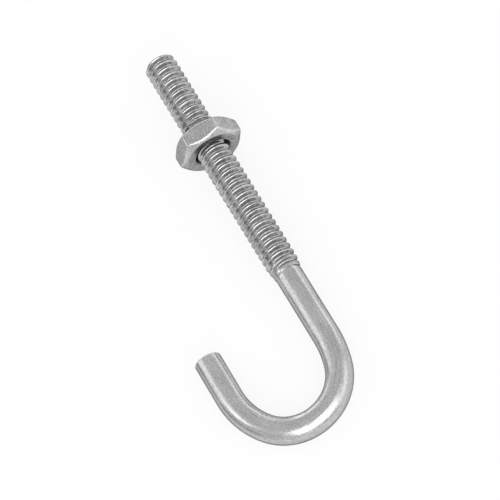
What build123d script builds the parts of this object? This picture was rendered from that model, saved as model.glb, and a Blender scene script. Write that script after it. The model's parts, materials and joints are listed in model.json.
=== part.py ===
from build123d import *

import os
from math import asin, atan2, degrees, hypot, radians, tan

# J bolt with its nut, lying on a level surface.
# Millimetres. +X runs along the shank towards the hook, the hook opens to -Y, +Z is up.
# The origin is on the surface, below the middle of the part.

# ---------------------------------------------------------------- driving dimensions

# Threaded end, number 10-24 unified coarse. It is plain at the diameter of the crests.
THREAD_DIAMETER = 4.68
THREAD_LENGTH = 39.2
END_CHAMFER = 0.45
RUNOUT_ANGLE = 10.0

# Plain wire behind the thread, and the hook that is bent from it.
WIRE_DIAMETER = 3.9
STRAIGHT_LENGTH = 49.7
ENTRY_RADIUS = 16.4
ENTRY_TURN = 16.7
HOOK_RADIUS = 7.2
EXIT_RADIUS = 11.4
EXIT_TURN = 36.0
TOTAL_TURN = 180.0
TAIL_LENGTH = 6.5
TAIL_EDGE = 0.2

# Hexagon nut, run down the thread by hand.
NUT_ACROSS_FLATS = 8.73
NUT_THICKNESS = 3.175
NUT_FACE_SHARE = 0.9
NUT_CHAMFER_ANGLE = 36.0
NUT_MOUTH = 0.26
NUT_CLEARANCE = 0.05
NUT_FROM_END = 15.2

# ---------------------------------------------------------------- values that follow

CREST_RADIUS = THREAD_DIAMETER / 2
WIRE_RADIUS = WIRE_DIAMETER / 2
HOOK_TURN = TOTAL_TURN - ENTRY_TURN - EXIT_TURN

BORE_RADIUS = CREST_RADIUS + NUT_CLEARANCE
FLAT_RADIUS = NUT_ACROSS_FLATS / 2
FACE_RADIUS = NUT_FACE_SHARE * FLAT_RADIUS


# ---------------------------------------------------------------- threaded end

def threaded_end():
    """The threaded length turned about X, its free end at x = 0.

    A 45 degree chamfer leads the nut on. The rolled thread stands proud of the wire, so its
    crests come down to the wire on a cone at the runout.
    """
    runout = (CREST_RADIUS - WIRE_RADIUS) / tan(radians(RUNOUT_ANGLE))
    half_section = Polyline(
        (0, 0),
        (0, CREST_RADIUS - END_CHAMFER),
        (END_CHAMFER, CREST_RADIUS),
        (THREAD_LENGTH - runout, CREST_RADIUS),
        (THREAD_LENGTH, WIRE_RADIUS),
        (THREAD_LENGTH, 0),
        close=True,
    )
    return revolve(make_face(half_section), Axis.X)


# ---------------------------------------------------------------- wire and hook

def wire_line():
    """The centre line behind the thread: straight, three tangent arcs and a straight tail.

    The tight middle arc is the bend round the former. The gentle arcs before and after it
    are where the wire springs away from the former.
    """
    shank = Line((THREAD_LENGTH, 0), (STRAIGHT_LENGTH, 0))
    entry = JernArc(shank @ 1, shank % 1, ENTRY_RADIUS, -ENTRY_TURN)
    hook = JernArc(entry @ 1, entry % 1, HOOK_RADIUS, -HOOK_TURN)
    leave = JernArc(hook @ 1, hook % 1, EXIT_RADIUS, -EXIT_TURN)
    tail = Line(leave @ 1, leave @ 1 + TAIL_LENGTH * (leave % 1))
    return Curve() + [shank, entry, hook, leave, tail]


def bent_wire():
    """The plain wire swept along its centre line, with the rim of the cut end eased."""
    line = wire_line()
    section = Plane(origin=(THREAD_LENGTH, 0, 0), z_dir=(1, 0, 0)) * Circle(WIRE_RADIUS)
    wire = sweep(section, path=line)
    cut_face = wire.faces().sort_by_distance(line @ 1)[0]
    return chamfer(cut_face.edges(), TAIL_EDGE)


def j_bolt():
    """The whole bolt, its free end at x = 0, its axis on X and its hook in the XY plane."""
    return threaded_end() + bent_wire()


# ---------------------------------------------------------------- nut

def hex_nut():
    """The nut on Z about its own middle: a hexagon chamfered on both faces.

    The bore runs clear of the thread crests and has a 45 degree mouth at each face.
    """
    half = NUT_THICKNESS / 2
    blank = extrude(RegularPolygon(FLAT_RADIUS, 6, major_radius=False, rotation=30), half, both=True)

    outside = NUT_ACROSS_FLATS
    drop = (outside - FACE_RADIUS) * tan(radians(NUT_CHAMFER_ANGLE))
    cone = Polyline(
        (0, half),
        (FACE_RADIUS, half),
        (outside, half - drop),
        (outside, -NUT_THICKNESS - drop),
        (0, -NUT_THICKNESS - drop),
        close=True,
    )
    upper = revolve(Plane.XZ * make_face(cone), Axis.Z)
    blank = blank & upper & (Rot(180, 0, 0) * upper)

    mouth = Polyline(
        (0, half),
        (BORE_RADIUS + NUT_MOUTH, half),
        (BORE_RADIUS, half - NUT_MOUTH),
        (0, half - NUT_MOUTH),
        close=True,
    )
    mouth = revolve(Plane.XZ * make_face(mouth), Axis.Z)
    return blank - Cylinder(BORE_RADIUS, NUT_THICKNESS) - mouth - Rot(180, 0, 0) * mouth


# ---------------------------------------------------------------- lying at rest

def resting_turn():
    """The turn about Y, in degrees, that puts nut and hook on one level surface.

    The nut touches at the hook side of its lower flat, where the chamfer cuts it, and the
    wire touches under the far end of the hook.
    """
    chamfer_cut = (FLAT_RADIUS - FACE_RADIUS) * tan(radians(NUT_CHAMFER_ANGLE))
    nut_touch = NUT_FROM_END + NUT_THICKNESS / 2 - chamfer_cut
    hook_touch = wire_line().bounding_box().max.X
    span = hook_touch - nut_touch
    return degrees(atan2(FLAT_RADIUS, span) - asin(WIRE_RADIUS / hypot(FLAT_RADIUS, span)))


def lying_part():
    """Both pieces in the part's own frame, by name."""
    lie = Rot(0, resting_turn(), 0)
    pieces = {
        "j_bolt": lie * j_bolt(),
        "hex_nut": lie * Pos(NUT_FROM_END, 0, 0) * Rot(0, 90, 0) * hex_nut(),
    }
    box = Compound(list(pieces.values())).bounding_box()
    to_origin = Pos(-box.center().X, -box.center().Y, -box.min.Z)
    return {name: to_origin * piece for name, piece in pieces.items()}


os.makedirs("parts", exist_ok=True)
for name, piece in lying_part().items():
    export_step(piece, f"parts/{name}.step")
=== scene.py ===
# %% [markdown]
# A J bolt is a length of steel wire with a thread rolled on one end and a hook bent on the
# other. It comes zinc plated, with a hexagon nut on the thread. This lesson dresses the
# plain CAD model of one: the thread is cut as a true helix, the nut gets softened edges and
# a thread of its own, and both get a plated finish.
#
# The CAD model is loaded first. Its box is kept, because the dressed model has to stay
# inside it.

# %% Load the frame
import json

import bmesh
import bpy
import numpy as np
from mathutils import Matrix, Vector


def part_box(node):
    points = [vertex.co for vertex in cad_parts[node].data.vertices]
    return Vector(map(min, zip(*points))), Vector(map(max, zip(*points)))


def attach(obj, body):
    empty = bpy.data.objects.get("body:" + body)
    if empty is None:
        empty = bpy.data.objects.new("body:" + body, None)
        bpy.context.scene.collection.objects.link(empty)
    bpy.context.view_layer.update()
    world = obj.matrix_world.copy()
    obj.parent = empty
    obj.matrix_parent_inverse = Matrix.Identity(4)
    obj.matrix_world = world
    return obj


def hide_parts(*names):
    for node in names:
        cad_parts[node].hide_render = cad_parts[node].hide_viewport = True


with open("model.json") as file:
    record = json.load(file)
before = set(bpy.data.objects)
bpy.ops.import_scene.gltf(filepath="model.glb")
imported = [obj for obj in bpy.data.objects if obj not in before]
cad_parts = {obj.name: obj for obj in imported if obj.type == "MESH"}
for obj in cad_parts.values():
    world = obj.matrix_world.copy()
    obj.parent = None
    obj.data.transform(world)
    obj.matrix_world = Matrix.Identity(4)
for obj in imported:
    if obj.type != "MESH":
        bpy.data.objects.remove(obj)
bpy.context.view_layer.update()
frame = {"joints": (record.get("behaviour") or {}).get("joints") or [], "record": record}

scene = bpy.context.scene

# %% [markdown]
# The nut slides along the thread, so the axis of its joint is the axis of the bolt. The free
# end comes from the mount on it. Three directions are enough for all that follows: along
# the thread, across it in the plane of the hook, and square to that plane.

# %% Directions and the free end
MM = 0.001

mounts = {mount["name"]: mount for mount in frame["record"]["mounts"]}
free_end = np.array(mounts["threaded_end"]["pos_m"])
along = np.array(frame["joints"][0]["axis"])
across = np.array([0.0, 1.0, 0.0])
square = np.cross(along, across)

print("free end at", free_end.round(6), "and the thread runs along", along.round(4))

# %% [markdown]
# The thread is number 10-24: 24 turns to the inch. An outside thread of this kind with
# rounded roots is 0.595 of the pitch deep, and plating fills in a little of that. Its crests
# stand out past the plain wire, because rolling pushes metal up out of the grooves.
#
# At the free end the crests are cut down by a chamfer. At the other end they come down to
# the wire on a cone, and the roots come up to it on a slightly steeper one.

# %% Sizes of the thread
PITCH = 25.4 * MM / 24
CREST_RADIUS = 4.68 * MM / 2
THREAD_DEPTH = 0.55 * PITCH
ROOT_RADIUS = CREST_RADIUS - THREAD_DEPTH
THREAD_LENGTH = 39.2 * MM
CREST_START = 0.25 * MM
END_CHAMFER = 0.45 * MM
RUNOUT_CREST_SLOPE = np.tan(np.radians(10.0))
RUNOUT_ROOT_SLOPE = np.tan(np.radians(12.0))

print(f"pitch {PITCH / MM:.4f} mm, thread depth {THREAD_DEPTH / MM:.3f} mm")

# %% [markdown]
# The wire behind the thread is straight at first. The bend is three tangent arcs, each given
# by its radius and the degrees that it turns: a gentle one where the wire springs away from
# the former, the tight one round it, and a gentle one before the straight tail. The tail's
# cut end has a small eased edge.

# %% Sizes of the wire
WIRE_RADIUS = 1.95 * MM
STRAIGHT_LENGTH = 49.7 * MM
BEND = [(16.4 * MM, 16.7), (7.2 * MM, 127.3), (11.4 * MM, 36.0)]
TAIL_LENGTH = 6.5 * MM
TAIL_EDGE = 0.2 * MM

bend_end = STRAIGHT_LENGTH + sum(radius * np.radians(degrees) for radius, degrees in BEND)
WIRE_LENGTH = bend_end + TAIL_LENGTH
print(f"length along the centre line {WIRE_LENGTH / MM:.2f} mm")

# %% [markdown]
# Every piece here is a surface on a grid: a function of two parameters, worked out as whole
# arrays. Neighbours in the grid become the corners of a quad. A piece can have several
# grids, so their points are numbered one grid after the other.

# %% From grids of points to a mesh
def grid_faces(rows, columns, first):
    """The quads of a grid whose point (i, j) has the number first + i * columns + j."""
    corner = first + np.arange(rows - 1)[:, None] * columns + np.arange(columns - 1)
    quads = np.stack([corner, corner + 1, corner + columns + 1, corner + columns], axis=-1)
    return quads.reshape(-1, 4)


def mesh_from_grids(name, grids):
    """One mesh of all the grids, which are arrays of (rows, columns, 3)."""
    quads, first = [], 0
    for grid in grids:
        rows, columns = grid.shape[:2]
        quads.append(grid_faces(rows, columns, first))
        first += rows * columns
    quads = np.concatenate(quads)
    points = np.concatenate([grid.reshape(-1, 3) for grid in grids])

    mesh = bpy.data.meshes.new(name)
    mesh.vertices.add(len(points))
    mesh.vertices.foreach_set("co", points.ravel())
    mesh.loops.add(quads.size)
    mesh.loops.foreach_set("vertex_index", quads.ravel())
    mesh.polygons.add(len(quads))
    mesh.polygons.foreach_set("loop_start", np.arange(0, quads.size, 4))
    mesh.update(calc_edges=True)
    return mesh


print("a grid of 3 by 4 points has", len(grid_faces(3, 4, 0)), "quads")

# %% [markdown]
# The first and last columns of a ring lie on each other, and so do all the points at a pole.
# Welding the points that coincide closes the seams and the poles in one go. After that the
# normals can be turned outwards, and no edge should be left open.
#
# Numbers that a material needs later, such as how polished a spot is, are worked out on the
# same grid and stored as attributes of the points, before the weld renumbers them.

# %% A closed piece with attributes
WELD_DISTANCE = 1e-7
SHARP_ANGLE = np.radians(40)


def add_attribute(mesh, name, values):
    """Stores arrays of (rows, columns) as numbers, or of (rows, columns, 3) as vectors."""
    is_vector = values[0].ndim == 3
    kind, field = ("FLOAT_VECTOR", "vector") if is_vector else ("FLOAT", "value")
    data = mesh.attributes.new(name, kind, "POINT").data
    data.foreach_set(field, np.concatenate([value.ravel() for value in values]))


def weld(mesh):
    """Closes the mesh, turns its faces outwards and returns how many edges stay open."""
    bm = bmesh.new()
    bm.from_mesh(mesh)
    bmesh.ops.remove_doubles(bm, verts=bm.verts, dist=WELD_DISTANCE)
    bmesh.ops.recalc_face_normals(bm, faces=bm.faces)
    open_edges = sum(not edge.is_manifold for edge in bm.edges)
    bm.to_mesh(mesh)
    bm.free()
    return open_edges


def piece_from_grids(name, grids, attributes):
    """A closed mesh object. attributes holds, by name, a list of one array for each grid."""
    mesh = mesh_from_grids(name, grids)
    for attribute_name, values in attributes.items():
        add_attribute(mesh, attribute_name, values)
    open_edges = weld(mesh)
    mesh.shade_smooth()
    mesh.set_sharp_from_angle(angle=SHARP_ANGLE)
    piece = bpy.data.objects.new(name, mesh)
    scene.collection.objects.link(piece)
    print(f"{name}: {len(mesh.polygons)} faces, {open_edges} open edges")
    return piece


print(f"points closer than {WELD_DISTANCE / MM:.4f} mm are welded")

# %% [markdown]
# A point of the bolt is given by how far along the wire it is, the angle round the wire and
# the distance from the centre line. So the whole bolt can be described as if it were
# straight, and the centre line bends it into a J. A curve object with a bevel could do the
# bend too, but it couldn't carry a thread.

# %% The centre line
def centre_line(s):
    """Place and heading of the centre line at the lengths s from the free end.

    On an arc of radius R the heading turns by s / R, and the centre line is the arc's
    centre plus R times the normal. Returned in the plane of the hook as x, y and heading.
    """
    x, y, turn = s.copy(), np.zeros_like(s), np.zeros_like(s)
    start, heading = STRAIGHT_LENGTH, 0.0
    corner = np.array([STRAIGHT_LENGTH, 0.0])
    for radius, degrees in BEND:
        angle = np.radians(degrees)
        on_arc = s > start
        local = np.clip((s - start) / radius, 0, angle)
        centre = corner + radius * np.array([np.sin(heading), -np.cos(heading)])
        bearing = heading - local
        x = np.where(on_arc, centre[0] - radius * np.sin(bearing), x)
        y = np.where(on_arc, centre[1] + radius * np.cos(bearing), y)
        turn = np.where(on_arc, bearing, turn)
        start += radius * angle
        heading -= angle
        corner = centre + radius * np.array([-np.sin(heading), np.cos(heading)])
    beyond = np.clip(s - start, 0, None)
    return x + beyond * np.cos(turn), y + beyond * np.sin(turn), turn


def on_bolt(s, angle, radius):
    """Points of the surface, in the frame of the CAD model.

    The centre line + radius * (cos(angle) * its normal + sin(angle) * square).
    """
    x, y, turn = centre_line(s)
    out = radius * np.cos(angle)
    x, y = x - out * np.sin(turn), y + out * np.cos(turn)
    z = radius * np.sin(angle)
    return free_end + x[..., None] * along + y[..., None] * across + z[..., None] * square


tail_offset = centre_line(np.array([WIRE_LENGTH]))[1][0]
print(f"the tail lies {-tail_offset / MM:.2f} mm to the side of the shank")

# %% [markdown]
# The thread could be a bump, but its crests make the outline of the bolt, so it is
# geometry. A rolled and plated thread has rounded crests and even rounder roots. A cosine
# wave, raised to a power so that it stays low for longer, gives both.

# %% The form of the thread
ROOT_POWER = 1.6


def thread_radius(x, angle):
    """Radius of an endless right-hand thread at x along it and at an angle round it.

    The turns from a crest are x over the pitch less the angle's share of a turn. A wave of
    them runs from 1 on the crest to 0 in the root and back.
    """
    turns = (x - CREST_START) / PITCH - angle / (2 * np.pi)
    wave = (1 + np.cos(2 * np.pi * turns)) / 2
    return ROOT_RADIUS + THREAD_DEPTH * wave ** ROOT_POWER


def bolt_radius(x, angle):
    """The thread, no more than the chamfer and between the two cones of the runout.

    The chamfer is the radius of the end face + x. The cones are the radius of the wire,
    plus and minus a slope times the length that is left to the end of the thread.
    """
    to_go = THREAD_LENGTH - x
    radius = np.minimum(thread_radius(x, angle), CREST_RADIUS - END_CHAMFER + x)
    radius = np.maximum(radius, WIRE_RADIUS - to_go * RUNOUT_ROOT_SLOPE)
    radius = np.minimum(radius, WIRE_RADIUS + to_go * RUNOUT_CREST_SLOPE)
    return np.where(to_go > 0, radius, WIRE_RADIUS)


first_root = CREST_START + PITCH / 2
print(f"radius on a crest {thread_radius(CREST_START, 0) / MM:.3f} mm,",
      f"in a root {thread_radius(first_root, 0) / MM:.3f} mm")

# %% [markdown]
# The bolt is three grids: its flat free end, the thread, and the wire up to its cut end.
# The free end is rings too, and a share says how far out on it each of them lies.
#
# The grid of the thread runs with the helix: each column starts a little further along than
# the one before, and after one turn the last column meets the first, one pitch on. So every
# crest is a line of the mesh. Rows that start before the free end or pass the runout fold up
# there, and the weld takes them away.

# %% The free end and the thread as grids
COLUMNS = 96
ROWS_PER_PITCH = 20
PITCHES_BEFORE = 2
PITCHES_SPARE = 3
END_SHARE = np.array([0.0, 0.4, 0.75, 0.93, 1.0])

column_angle = np.linspace(0, 2 * np.pi, COLUMNS + 1)


def ring_grid(s, radius):
    """Length, angle and radius of rings at the lengths s, in the columns of the thread."""
    return np.broadcast_arrays(s[:, None], column_angle, radius)


end_ring = bolt_radius(np.zeros(COLUMNS + 1), column_angle)
free_face = ring_grid(np.zeros(len(END_SHARE)), END_SHARE[:, None] * end_ring)

thread_rows = ROWS_PER_PITCH * int(np.ceil(THREAD_LENGTH / PITCH + PITCHES_SPARE))
row = np.arange(thread_rows + 1)[:, None] / ROWS_PER_PITCH
thread_x = CREST_START + PITCH * (row - PITCHES_BEFORE + column_angle / (2 * np.pi))
thread_x = np.clip(thread_x, 0, THREAD_LENGTH)
thread_angle = np.broadcast_to(column_angle, thread_x.shape)
thread = (thread_x, thread_angle, bolt_radius(thread_x, thread_angle))
print("rows and columns of the free end", free_face[0].shape, "and the thread", thread_x.shape)

# %% [markdown]
# The rest of the bolt is plain rings: few where the wire is straight, many in the bend.
# The rim of the tail is a quarter circle from the side of the wire to its cut face, and the
# face is rings that shrink to a point.

# %% The wire as a grid
STRAIGHT_RINGS = 30
BEND_RINGS = 150
TAIL_RINGS = 16
CUT_SHARE = np.array([0.97, 0.85, 0.6, 0.3, 0.0])

plain_s = np.concatenate([
    np.linspace(THREAD_LENGTH, STRAIGHT_LENGTH, STRAIGHT_RINGS),
    np.linspace(STRAIGHT_LENGTH, bend_end, BEND_RINGS)[1:],
    np.linspace(bend_end, WIRE_LENGTH - TAIL_EDGE, TAIL_RINGS)[1:-1],
])
plain_radius = np.full(len(plain_s), WIRE_RADIUS)

ease = np.radians([0, 22, 45, 68, 90])
rim_s = WIRE_LENGTH - TAIL_EDGE * (1 - np.sin(ease))
rim_radius = WIRE_RADIUS - TAIL_EDGE * (1 - np.cos(ease))

cut_s = np.full(len(CUT_SHARE), WIRE_LENGTH)
cut_radius = (WIRE_RADIUS - TAIL_EDGE) * CUT_SHARE

wire_s = np.concatenate([plain_s, rim_s, cut_s])
wire_radius = np.concatenate([plain_radius, rim_radius, cut_radius])
wire = ring_grid(wire_s, wire_radius[:, None])
print("rows and columns of the wire", wire[0].shape)

# %% [markdown]
# Drawing the wire and rolling the thread both leave faint lines, along the wire and along
# the helix. A noise stretched along X makes such lines, if X follows the metal. So each
# point of the bolt carries coordinates of its own, called "worked", in which the bolt is
# straight and the thread is unrolled.

# %% Coordinates that follow the metal
# Sends every point that lies halfway between two crests to the same one of them.
TIE_BREAK = 1e-6


def worked(s, angle, radius):
    """Coordinates whose X runs the way the metal was worked.

    On the wire X is the length along it. On the thread X is the length along the helix,
    which is the crest's radius times the angle turned so far, Y is the distance across it
    from the nearest crest and Z is the height above the root.
    """
    turns = (s - CREST_START) / PITCH
    crest = np.floor(turns - angle / (2 * np.pi) + 0.5 + TIE_BREAK)
    helix_length = CREST_RADIUS * (2 * np.pi * crest + angle)
    from_crest = (turns - angle / (2 * np.pi) - crest) * PITCH
    rolled = np.stack([helix_length, from_crest, radius - ROOT_RADIUS], axis=-1)
    drawn = np.stack([s, radius * np.cos(angle), radius * np.sin(angle)], axis=-1)
    return np.where((s < THREAD_LENGTH)[..., None], rolled, drawn)


helix_span = np.ptp(worked(*thread)[..., 0])
print(f"the thread unrolled is {helix_span / MM:.0f} mm long")

# %% [markdown]
# Handling rubs the crests bright, and the roots are darker: dirt, and painted shade in the
# grooves. Both follow from how high a point stands in the thread, so each point carries a
# number for it, called "polish". Two narrow rings are brighter as well: the collar where the
# thread runs out, a painted highlight, and the rim of the tail.

# %% How polished the bolt is
HEIGHTS = [0.0, 0.3, 0.8, 1.0]
# Low in the thread the plating is darker, dirt and painted shade; near the crest it is worn
# bright.
POLISH_AND_SHADE_AT_HEIGHTS = [-1.0, -0.3, 0.0, 0.8]
FADE_LENGTH = 1.0 * MM
# The bright band on the collar is a painted highlight.
COLLAR_HIGHLIGHT_WIDTH = 0.18 * MM
RIM_WIDTH = 0.15 * MM
RIM_POLISH = 0.8
RIM_FROM = 0.8 * WIRE_RADIUS


def bell(distance, width):
    """1 at no distance, falling to both sides: e to the minus (distance / width) squared."""
    return np.exp(-(distance / width) ** 2)


def bolt_polish_and_painted_light(s, angle, radius):
    """1 or less where the plating is rubbed bright or a highlight is painted, down to -1 where
    there is dirt and painted shade in the roots.

    By height in the thread, with painted shade in the roots, fading out at its end, + a bell
    on the collar, a painted highlight, + a bell on the rim. The angle plays no part.
    """
    height = (radius - ROOT_RADIUS) / THREAD_DEPTH
    in_thread = np.clip((THREAD_LENGTH - s) / FADE_LENGTH, 0, 1)
    # Darker roots: dirt, and painted shade.
    wear_and_shade_on_thread = in_thread * np.interp(height, HEIGHTS, POLISH_AND_SHADE_AT_HEIGHTS)
    # The collar's bell is a painted highlight.
    collar = bell(s - THREAD_LENGTH, COLLAR_HIGHLIGHT_WIDTH)
    rim = RIM_POLISH * bell(s - WIRE_LENGTH + TAIL_EDGE, RIM_WIDTH)
    return wear_and_shade_on_thread + collar + rim * (radius > RIM_FROM)


thread_polish_and_painted_light = bolt_polish_and_painted_light(*thread)
print(f"polish on the thread from {thread_polish_and_painted_light.min():.2f} to {thread_polish_and_painted_light.max():.2f}")

# %% [markdown]
# The three grids and what they carry become one closed piece. A third attribute, "rolled",
# is 1 on the thread and 0 on the wire, because the two have a slightly different finish.

# %% The bolt
parts = [free_face, thread, wire]
bolt = piece_from_grids(
    "threaded_wire",
    [on_bolt(*part) for part in parts],
    {
        "worked": [worked(*part) for part in parts],
        "polish_and_painted_light": [bolt_polish_and_painted_light(*part) for part in parts],
        "rolled": [(s < THREAD_LENGTH).astype(float) for s, angle, radius in parts],
    },
)

# %% [markdown]
# The nut is a hexagon cut by a cone at each face, with a threaded hole that widens at its
# mouths. It is a small one for this thread: 11/32 inch across the flats and 1/8 thick. The
# CAD model says where along the thread it stands.

# %% Sizes of the nut
ACROSS_FLATS = 8.73 * MM
THICKNESS = 3.175 * MM
FACE_SHARE = 0.90
CHAMFER_SLOPE = np.tan(np.radians(36))
MOUTH_RADIUS = 2.78 * MM
NUT_MINOR_RADIUS = 1.92 * MM
THREAD_GAP = 0.05 * MM

flat_radius = ACROSS_FLATS / 2
face_radius = FACE_SHARE * flat_radius
half = THICKNESS / 2

nut_low, nut_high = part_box("hex_nut")
nut_centre = (np.array(nut_low) + np.array(nut_high)) / 2
nut_from_end = (nut_centre - free_end) @ along
print(f"middle of the nut {nut_from_end / MM:.3f} mm from the free end")

# %% [markdown]
# A hexagon could be extruded and cut with Boolean and Bevel modifiers. In polar form it
# needs neither: the hexagon is a radius that depends on the angle, the cone is a radius that
# grows away from the face, and the lesser of the two is the nut. A minimum that rounds its
# corner eases the edge between them, as on a real nut.

# %% The form of the nut
CORNER_POWER = 36
EDGE_EASE = 0.15 * MM
CREST_EASE = 0.07 * MM


def softer_min(a, b, rounding):
    """The lesser of a and b, with the corner where they cross rounded off.

    Half of a + b less the root of (a - b) squared + rounding squared.
    """
    return (a + b - np.sqrt((a - b) ** 2 + rounding ** 2)) / 2


def softer_max(a, b, rounding):
    """The greater of a and b, with the corner rounded off: minus the lesser of -a and -b."""
    return -softer_min(-a, -b, rounding)


def hexagon_radius(angle):
    """A hexagon with corners just rounded: the flat's distance over the cosine to its middle.

    The cosines to the six flats are added up as a high power, so the nearest flat counts
    alone, except at a corner, where two of them share.
    """
    middles = np.radians(np.arange(30, 390, 60))
    cosines = np.clip(np.cos(angle[..., None] - middles), 0, None)
    return flat_radius / np.sum(cosines ** CORNER_POWER, axis=-1) ** (1 / CORNER_POWER)


def nut_outside(x, angle):
    """Radius at x from the middle: the hexagon or the cone of the nearer face."""
    cone = face_radius + (half - np.abs(x)) / CHAMFER_SLOPE
    return softer_min(hexagon_radius(angle), cone, EDGE_EASE)


def nut_inside(x, angle):
    """The nut's thread: the bolt's, a gap further out, cut off at its crests and mouths."""
    radius = thread_radius(nut_from_end + x, angle) + THREAD_GAP
    radius = softer_max(radius, NUT_MINOR_RADIUS, CREST_EASE)
    return np.maximum(radius, MOUTH_RADIUS - (half - np.abs(x)))


corner_radius = hexagon_radius(np.zeros(1))[0]
print(f"{ACROSS_FLATS / MM:.2f} mm across flats, {2 * corner_radius / MM:.2f} mm across corners")

# %% [markdown]
# The outside is rings from one face to the other. A face of the mesh shouldn't straddle the
# edge where the flat meets the cone, and that edge rises and falls from flat to corner. So
# the rings near it follow it, at fixed distances on both sides.

# %% The outside of the nut
COLUMNS_PER_FLAT = 32
CROWDING = 0.85
NEAR_EDGE = np.array([0.12, 0.06, 0.0, -0.06, -0.12, -0.19, -0.28, -0.40])[:, None] * MM
CONE_SHARE = np.array([0.0, 0.06, 0.15, 0.35, 0.6, 0.8])[:, None]

# Columns crowd together at the corners: t less a share of sin(2 pi t) / (2 pi).
t = np.linspace(0, 6, 6 * COLUMNS_PER_FLAT + 1)
nut_angle = np.radians(60) * (t - CROWDING * np.sin(2 * np.pi * t) / (2 * np.pi))

past_face = np.clip(hexagon_radius(nut_angle) - face_radius, 0, None)
chamfer_end = half - past_face * CHAMFER_SLOPE
edge_rings = np.clip(chamfer_end + NEAR_EDGE, None, half)
cone_rings = half + (edge_rings[0] - half) * CONE_SHARE
upper_rings = np.concatenate([cone_rings, edge_rings])
outside_x = np.concatenate([upper_rings, -upper_rings[::-1]])
outside_radius = nut_outside(outside_x, nut_angle)
print("rows and columns of the outside", outside_x.shape)

# %% [markdown]
# The flat faces run from the mouth of the hole out to the first ring of the outside. The
# hole is rings again, close enough to show the three turns of thread in it. Hole, face,
# outside and face follow one another, so the nut is a single grid that closes on itself.

# %% The hole and the faces of the nut
BORE_RINGS = 81
RING_SHARE = np.array([0.0, 0.3, 0.7, 0.92, 1.0])[:, None]

bore_x, bore_angle = np.meshgrid(np.linspace(-half, half, BORE_RINGS), nut_angle, indexing="ij")
bore_radius = nut_inside(bore_x, bore_angle)

flat_face_radius = MOUTH_RADIUS + (outside_radius[0] - MOUTH_RADIUS) * RING_SHARE
flat_face_x = np.full(flat_face_radius.shape, half)

nut_x = np.concatenate([bore_x, flat_face_x, outside_x, -flat_face_x])
nut_radius = np.concatenate(
    [bore_radius, flat_face_radius, outside_radius, flat_face_radius[::-1]]
)
nut_turn = np.broadcast_to(nut_angle, nut_x.shape)
print("rows and columns of the whole nut", nut_x.shape)

# %% [markdown]
# On the nut the edges between flats and cones are rubbed bright, partly a painted highlight.
# Its faces are duller, and the thread inside is the darkest of all: dirt, and painted shade in
# the hole. It carries "polish" for this, as the bolt does.

# %% The nut
# The bright band on the nut's edges is wear and a painted highlight.
EDGE_WEAR_AND_HIGHLIGHT_WIDTH = 0.15 * MM
FACE_MARGIN = 0.1 * MM
# -1 in the hole is dirt and painted shade.
POLISH_AND_SHADE_RADII = [2.6 * MM, 2.8 * MM, face_radius - FACE_MARGIN, face_radius + FACE_MARGIN]
POLISH_AND_SHADE_AT_RADII = [-1.0, -0.45, -0.35, 0.0]


def nut_polish_and_painted_light(x, radius):
    """A bell of 1 on the edge between flat and cone, below 0 on the faces, -1 in the hole."""
    # A bright edge, wear and painted highlight; a dark hole, dirt and painted shade.
    edge_wear_and_highlight = bell(np.abs(x) - chamfer_end, EDGE_WEAR_AND_HIGHLIGHT_WIDTH)
    dirt_and_shade_inwards = np.interp(radius, POLISH_AND_SHADE_RADII, POLISH_AND_SHADE_AT_RADII)
    return np.where(radius > face_radius + FACE_MARGIN, edge_wear_and_highlight, dirt_and_shade_inwards)


nut = piece_from_grids(
    "chamfered_nut",
    [on_bolt(nut_from_end + nut_x, nut_turn, nut_radius)],
    {"polish_and_painted_light": [nut_polish_and_painted_light(nut_x, nut_radius)], "rolled": [np.zeros_like(nut_radius)]},
)

# %% [markdown]
# A finish is a tree of small nodes. Four helpers keep it readable: one gives a socket its
# value, one does a sum, one makes a noise of a given size, and one is a smooth threshold.
# The noise has its size in metres, so a grain can be given as fine as it is on real plating.

# %% Helpers for nodes
NOISE_DETAIL = 2


def put(tree, value, socket):
    """Gives a socket its value: another socket is linked, anything else is set."""
    if isinstance(value, bpy.types.NodeSocket):
        tree.links.new(value, socket)
    else:
        socket.default_value = value


def calc(tree, operation, *values):
    """The result of a Math node on numbers or sockets."""
    node = tree.nodes.new("ShaderNodeMath")
    node.operation = operation
    for value, socket in zip(values, node.inputs):
        put(tree, value, socket)
    return node.outputs[0]


def noise(tree, vector, size, stretch):
    """Noise about 0 with features of that size in metres, drawn out along X by stretch."""
    mapping = tree.nodes.new("ShaderNodeMapping")
    mapping.inputs["Scale"].default_value = (1 / stretch, 1, 1)
    put(tree, vector, mapping.inputs["Vector"])
    texture = tree.nodes.new("ShaderNodeTexNoise")
    texture.inputs["Scale"].default_value = 1 / size
    texture.inputs["Detail"].default_value = NOISE_DETAIL
    put(tree, mapping.outputs["Vector"], texture.inputs["Vector"])
    return calc(tree, "SUBTRACT", texture.outputs["Fac"], 0.5)


def smooth_step(tree, value, low, high):
    """0 below low, 1 above high and smooth between."""
    node = tree.nodes.new("ShaderNodeMapRange")
    node.interpolation_type = "SMOOTHSTEP"
    for name, given in (("Value", value), ("From Min", low), ("From Max", high)):
        put(tree, given, node.inputs[name])
    return node.outputs["Result"]


print("helpers:", ", ".join(helper.__name__ for helper in (put, calc, noise, smooth_step)))

# %% [markdown]
# Zinc plating on wire is a soft grey metal. Under light it shows a fine grain, lighter and
# darker clouds, faint lines drawn along the wire and a few dark nicks. Each is a noise with
# its own size and its own stretch along the metal. A threshold that only the highest spots
# of a noise pass leaves the nicks.

# %% The patterns of the plating
CLOUD_SIZE, CLOUD_STRETCH = 1.4 * MM, 3
GRAIN_SIZE, GRAIN_STRETCH = 0.16 * MM, 2
LINE_SIZE, LINE_STRETCH = 0.18 * MM, 20
SPOT_SIZE, SPOT_STRETCH = 0.5 * MM, 3
NICK_FROM, NICK_FULL = 0.17, 0.23


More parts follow.
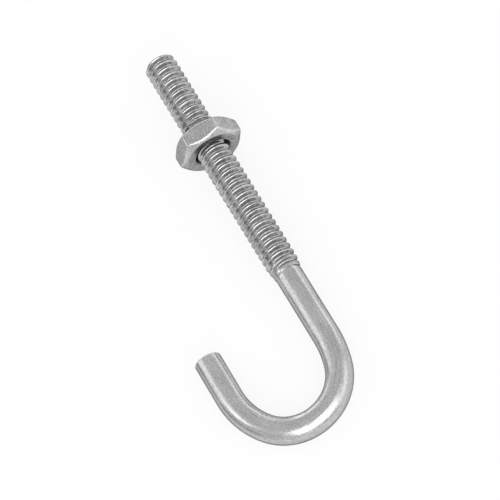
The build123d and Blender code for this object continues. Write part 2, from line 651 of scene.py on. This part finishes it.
def plating_patterns(group, given):
    """Clouds, grain and lines about 0, and nicks from 0 to 1. Rolling doubles the lines."""
    vector = given["Vector"]
    clouds = noise(group, vector, CLOUD_SIZE, CLOUD_STRETCH)
    grain = noise(group, vector, GRAIN_SIZE, GRAIN_STRETCH)
    lines = noise(group, vector, LINE_SIZE, LINE_STRETCH)
    lines = calc(group, "MULTIPLY", lines, calc(group, "ADD", 1.0, given["Rolled"]))
    spots = noise(group, vector, SPOT_SIZE, SPOT_STRETCH)
    nicks = smooth_step(group, spots, NICK_FROM, NICK_FULL)
    return clouds, grain, lines, nicks


print(f"grain {GRAIN_SIZE / MM:.2f} mm and clouds {CLOUD_SIZE / MM:.1f} mm in size,",
      f"lines {LINE_STRETCH} times as long as they are wide")

# %% [markdown]
# What each pattern does to the metal is a sum: a start value, and each pattern times how
# much it counts. Nicks are darker, rougher and lower than the metal round them. Polish makes
# it brighter and smoother, and below 0 darker: wear and dirt, with painted highlights and
# painted shade as well. A rolled thread is a little darker and smoother than the drawn wire.

# %% Tone, roughness and height
NICK_TONE = -0.12
ROLLED_TONE = -0.05
LEAST_TONE = 0.05
BLUE_SHARE = 1.01
CLOUD_ROUGHNESS = 0.12
POLISH_ROUGHNESS = -0.05
ROLLED_ROUGHNESS = -0.07
NICK_ROUGHNESS = 0.2
GRAIN_HEIGHT = 0.5
NICK_HEIGHT = -0.3


def add_up(group, total, *terms):
    """total + each term's pattern times its amount."""
    for pattern, amount in terms:
        total = calc(group, "MULTIPLY_ADD", pattern, amount, total)
    return total


def plating_colour(group, given, clouds, grain, lines, nicks):
    """A grey just off neutral, whose tone is the sum of all patterns.

    Tone + Clouds * clouds + Grain * grain + Lines * lines + Wear * polish where that is
    above 0, + Dirt * polish where it is below 0, + nicks and rolling at their own amounts.
    """
    # Above 0 this is wear and painted highlight, below 0 dirt and painted shade.
    worn_and_highlit = calc(group, "MAXIMUM", given["Polish_And_Painted_Light"], 0.0)
    dirty_and_shaded = calc(group, "MINIMUM", given["Polish_And_Painted_Light"], 0.0)
    tone = add_up(
        group, given["Tone"],
        (clouds, given["Clouds"]), (grain, given["Grain"]), (lines, given["Lines"]),
        (worn_and_highlit, given["Wear"]), (dirty_and_shaded, given["Dirt"]),
        (nicks, NICK_TONE), (given["Rolled"], ROLLED_TONE),
    )
    tone = calc(group, "MAXIMUM", tone, LEAST_TONE)
    colour = group.nodes.new("ShaderNodeCombineColor")
    put(group, tone, colour.inputs["Red"])
    put(group, tone, colour.inputs["Green"])
    put(group, calc(group, "MULTIPLY", tone, BLUE_SHARE), colour.inputs["Blue"])
    return colour.outputs["Color"]


def plating_roughness(group, given, clouds, nicks):
    """Shine + clouds, polish, rolling and nicks at their own amounts."""
    return add_up(
        group, given["Shine"],
        (clouds, CLOUD_ROUGHNESS), (given["Polish_And_Painted_Light"], POLISH_ROUGHNESS),
        (given["Rolled"], ROLLED_ROUGHNESS), (nicks, NICK_ROUGHNESS),
    )


def plating_height(group, grain, lines, nicks):
    """Lines + a share of the grain, less the nicks."""
    return add_up(group, lines, (grain, GRAIN_HEIGHT), (nicks, NICK_HEIGHT))


print(f"a nick changes the tone by {NICK_TONE} and the roughness by {NICK_ROUGHNESS}")

# %% [markdown]
# Bolt and nut were plated alike, so one node group makes the plating of both and their grain
# has one scale. Its inputs are what differs between them. It puts out values only, and the
# shader stays in each material.

# %% The plating as a node group
AMOUNTS = ("Polish_And_Painted_Light", "Rolled", "Tone", "Clouds", "Grain", "Lines", "Wear", "Dirt", "Shine")


def plating_group():
    """The node group: coordinates and amounts in, colour, roughness and height out."""
    group = bpy.data.node_groups.new("zinc_plating", "ShaderNodeTree")
    sockets = group.interface
    sockets.new_socket("Vector", in_out="INPUT", socket_type="NodeSocketVector")
    for name in AMOUNTS:
        sockets.new_socket(name, in_out="INPUT", socket_type="NodeSocketFloat")
    sockets.new_socket("Color", in_out="OUTPUT", socket_type="NodeSocketColor")
    sockets.new_socket("Roughness", in_out="OUTPUT", socket_type="NodeSocketFloat")
    sockets.new_socket("Height", in_out="OUTPUT", socket_type="NodeSocketFloat")
    given = group.nodes.new("NodeGroupInput").outputs
    result = group.nodes.new("NodeGroupOutput").inputs

    clouds, grain, lines, nicks = plating_patterns(group, given)
    put(group, plating_colour(group, given, clouds, grain, lines, nicks), result["Color"])
    put(group, plating_roughness(group, given, clouds, nicks), result["Roughness"])
    put(group, plating_height(group, grain, lines, nicks), result["Height"])
    return group


plating = plating_group()
print("node group", plating.name, "with", len(plating.nodes), "nodes")

# %% [markdown]
# Each material is a plain metal that takes its colour, roughness and bump from the group. A
# metal of this kind loses light towards its edges. Specular Tint, which for a metal is its
# reflection at a steep angle, darkens them as on the real thing.

# %% A plated metal
EDGE_TINT = 0.20
BUMP_DISTANCE = 0.016 * MM


def attribute(tree, name, output):
    """An attribute of the mesh, as a socket."""
    node = tree.nodes.new("ShaderNodeAttribute")
    node.attribute_name = name
    return node.outputs[output]


def worked_coordinates(tree):
    """The coordinates that follow the metal, as a socket."""
    return attribute(tree, "worked", "Vector")


def object_coordinates(tree):
    """Object coordinates, as a socket."""
    return tree.nodes.new("ShaderNodeTexCoord").outputs["Object"]


def plated(name, coordinates, **amounts):
    """A plated metal. coordinates makes their socket, amounts are the group's other inputs."""
    material = bpy.data.materials.new(name)
    material.use_nodes = True
    tree = material.node_tree
    metal = tree.nodes["Principled BSDF"]
    metal.inputs["Metallic"].default_value = 1.0
    metal.inputs["Specular Tint"].default_value = (EDGE_TINT, EDGE_TINT, EDGE_TINT, 1)

    zinc = tree.nodes.new("ShaderNodeGroup")
    zinc.node_tree = plating
    put(tree, coordinates(tree), zinc.inputs["Vector"])
    put(tree, attribute(tree, "polish_and_painted_light", "Fac"), zinc.inputs["Polish_And_Painted_Light"])
    put(tree, attribute(tree, "rolled", "Fac"), zinc.inputs["Rolled"])
    for socket, amount in amounts.items():
        zinc.inputs[socket].default_value = amount

    bump = tree.nodes.new("ShaderNodeBump")
    bump.inputs["Distance"].default_value = BUMP_DISTANCE
    put(tree, zinc.outputs["Height"], bump.inputs["Height"])
    put(tree, bump.outputs["Normal"], metal.inputs["Normal"])
    put(tree, zinc.outputs["Color"], metal.inputs["Base Color"])
    put(tree, zinc.outputs["Roughness"], metal.inputs["Roughness"])
    print("finish", name, amounts)
    return material


# %% [markdown]
# The wire reads the coordinates that follow the metal, so its lines go round the bend and
# along the helix. The nut wasn't drawn, so plain Object coordinates do. It has a stronger
# grain, fainter lines, brighter edges, partly a painted highlight, and a darker hole: more
# dirt, and painted shade.

# %% Finishes of wire and nut
# The amounts of wear and dirt also set how strong the painted highlights and painted shade are.
bolt.data.materials.append(plated(
    "zinc_on_wire", worked_coordinates,
    Tone=0.54, Clouds=0.18, Grain=0.52, Lines=0.32, Wear=0.05, Dirt=0.06, Shine=0.27,
))
nut.data.materials.append(plated(
    "zinc_on_nut", object_coordinates,
    Tone=0.50, Clouds=0.20, Grain=0.75, Lines=0.10, Wear=0.14, Dirt=0.34, Shine=0.27,
))

# %% [markdown]
# Each piece stands for its CAD solid and rides on the same body, so the nut goes with the
# joint when it slides along the thread.

# %% Put the pieces on their bodies
for piece, node, body, slot in (
    (bolt, "j_bolt", "bolt", "zinc_wire"),
    (nut, "hex_nut", "nut", "zinc_nut"),
):
    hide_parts(node)
    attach(piece, body)
print("pieces:", bolt.name, nut.name)

# %% [markdown]
# The bolt lies on a sheet of pale paper. Lit paper is never quite white, and more light to
# make it so would wash out the metal. So the camera sees most of the paper's white as a
# plain glow, and so do rays that come off metal, while shadows still fall on it.

# %% Floor
FLOOR_SIZE = 6.0
FLOOR_GREY = 0.9
PAPER_ROUGHNESS = 0.9
SEEN_WHITE = 0.85


def paper_sheet(name, corners, finish, grey):
    """A sheet of matt paper with those four corners."""
    mesh = bpy.data.meshes.new(name)
    mesh.from_pydata(corners, [], [(0, 1, 2, 3)])
    material = bpy.data.materials.new(finish)
    material.use_nodes = True
    paper = material.node_tree.nodes["Principled BSDF"]
    paper.inputs["Base Color"].default_value = (grey, grey, grey, 1)
    paper.inputs["Roughness"].default_value = PAPER_ROUGHNESS
    mesh.materials.append(material)
    sheet = bpy.data.objects.new(name, mesh)
    scene.collection.objects.link(sheet)
    return sheet


edge_at = FLOOR_SIZE / 2
floor_corners = [
    (-edge_at, -edge_at, 0),
    (edge_at, -edge_at, 0),
    (edge_at, edge_at, 0),
    (-edge_at, edge_at, 0),
]
floor = paper_sheet("floor", floor_corners, "pale_floor", FLOOR_GREY)

tree = floor.active_material.node_tree
glow = tree.nodes.new("ShaderNodeEmission")
mix = tree.nodes.new("ShaderNodeMixShader")
rays = tree.nodes.new("ShaderNodeLightPath")
seen = calc(tree, "MAXIMUM", rays.outputs["Is Camera Ray"], rays.outputs["Is Glossy Ray"])
seen = calc(tree, "MAXIMUM", seen, rays.outputs["Is Transmission Ray"])
put(tree, calc(tree, "MULTIPLY", seen, SEEN_WHITE), mix.inputs[0])
put(tree, tree.nodes["Principled BSDF"].outputs[0], mix.inputs[1])
put(tree, glow.outputs[0], mix.inputs[2])
put(tree, mix.outputs[0], tree.nodes["Material Output"].inputs["Surface"])
print(f"floor {FLOOR_SIZE} m wide, {SEEN_WHITE:.0%} glow and the rest paper to the camera")

# %% [markdown]
# The camera looks down on the bolt from the hook's end, turned so that the thread runs up to
# the left. A long lens from half a metre away keeps the shape of so small a thing true.

# %% Camera
CAMERA_AZIMUTH = np.radians(4.99)
CAMERA_ELEVATION = np.radians(59.98)
CAMERA_ROLL = np.radians(-37.07)
CAMERA_DISTANCE = 476.7 * MM
LENS = 249.7
AIM = Vector((1.756, 3.466, 3.048)) * MM


def direction(azimuth, elevation):
    """The direction at an azimuth from +X towards +Y and an elevation from the floor up."""
    return Vector((
        np.cos(elevation) * np.cos(azimuth),
        np.cos(elevation) * np.sin(azimuth),
        np.sin(elevation),
    ))


def facing_aim(heading, distance):
    """The matrix that puts a thing at that distance from the aim and turns it to face it."""
    turn = heading.to_track_quat("Z", "Y").to_matrix().to_4x4()
    return Matrix.Translation(AIM + distance * heading) @ turn


camera_data = bpy.data.cameras.new("camera")
camera_data.lens = LENS
camera = bpy.data.objects.new("camera", camera_data)
to_camera = direction(CAMERA_AZIMUTH, CAMERA_ELEVATION)
roll = Matrix.Rotation(CAMERA_ROLL, 4, "Z")
camera.matrix_world = facing_aim(to_camera, CAMERA_DISTANCE) @ roll
scene.collection.objects.link(camera)
scene.camera = camera
print("camera at", [round(v, 3) for v in camera.matrix_world.translation])

# %% [markdown]
# Bright metal shows its surroundings more than itself, so the lamps are large soft boxes,
# each placed where the wire should mirror it. The key light is the broad one over the hook.
# The side light and the small glint draw bright lines on the side to which the hook opens,
# the two low strips light the crests from behind, and the wing fills the other side.

# %% Soft boxes
LAMP_DISTANCE = 0.60
SOFT_BOXES = {
    # Azimuth and elevation in degrees, width and height in metres, power in watts.
    "key": (2, 42, 0.62, 0.46, 1.9),
    "side": (-120, 31, 0.28, 0.44, 0.24),
    "glint": (-98, 40, 0.14, 0.14, 0.13),
    "low strip": (140, 9, 0.95, 0.10, 0.43),
    "back strip": (-165, 12, 0.45, 0.22, 0.36),
    "wing": (62, 22, 0.62, 0.30, 0.45),
}

for name, (azimuth, elevation, width, height, watts) in SOFT_BOXES.items():
    data = bpy.data.lights.new(name, "AREA")
    data.shape = "RECTANGLE"
    data.size, data.size_y = width, height
    data.energy = watts
    lamp = bpy.data.objects.new(name, data)
    heading = direction(np.radians(azimuth), np.radians(elevation))
    lamp.matrix_world = facing_aim(heading, LAMP_DISTANCE)
    lamp.visible_camera = False
    scene.collection.objects.link(lamp)
print("soft boxes:", ", ".join(SOFT_BOXES))

# %% [markdown]
# Metal between white walls loses its edges. A dark card on the side to which the hook opens
# gives the wire its thin dark line there. Only mirror rays meet it, so the camera doesn't
# see it and it leaves no shadow on the floor.

# %% Dark card
CARD_AZIMUTH = np.radians(-112)
CARD_DISTANCE, CARD_WIDTH, CARD_HEIGHT = 0.07, 0.18, 0.016
CARD_GREY = 0.12

card_out = CARD_DISTANCE * Vector((np.cos(CARD_AZIMUTH), np.sin(CARD_AZIMUTH), 0))
card_side = CARD_WIDTH / 2 * Vector((-np.sin(CARD_AZIMUTH), np.cos(CARD_AZIMUTH), 0))
card_up = Vector((0, 0, CARD_HEIGHT))
card_foot = [card_out - card_side, card_out + card_side]
card_corners = [*card_foot, card_foot[1] + card_up, card_foot[0] + card_up]

card = paper_sheet("dark_card", card_corners, "dark_paper", CARD_GREY)
card.visible_camera = False
card.visible_diffuse = False
card.visible_shadow = False
print(f"card {CARD_WIDTH} m wide, {CARD_DISTANCE} m from the origin")

# %% [markdown]
# Pale walls all round fill what the lamps leave, so the world is a plain white at less than
# full strength. The Standard view shows colours as they are written.

# %% World and view
WORLD_STRENGTH = 0.72

world = bpy.data.worlds.new("studio")
scene.world = world
world.use_nodes = True
walls = world.node_tree.nodes["Background"]
walls.inputs["Color"].default_value = (1, 1, 1, 1)
walls.inputs["Strength"].default_value = WORLD_STRENGTH

scene.view_settings.view_transform = "Standard"
print("world strength", WORLD_STRENGTH, "and view", scene.view_settings.view_transform)
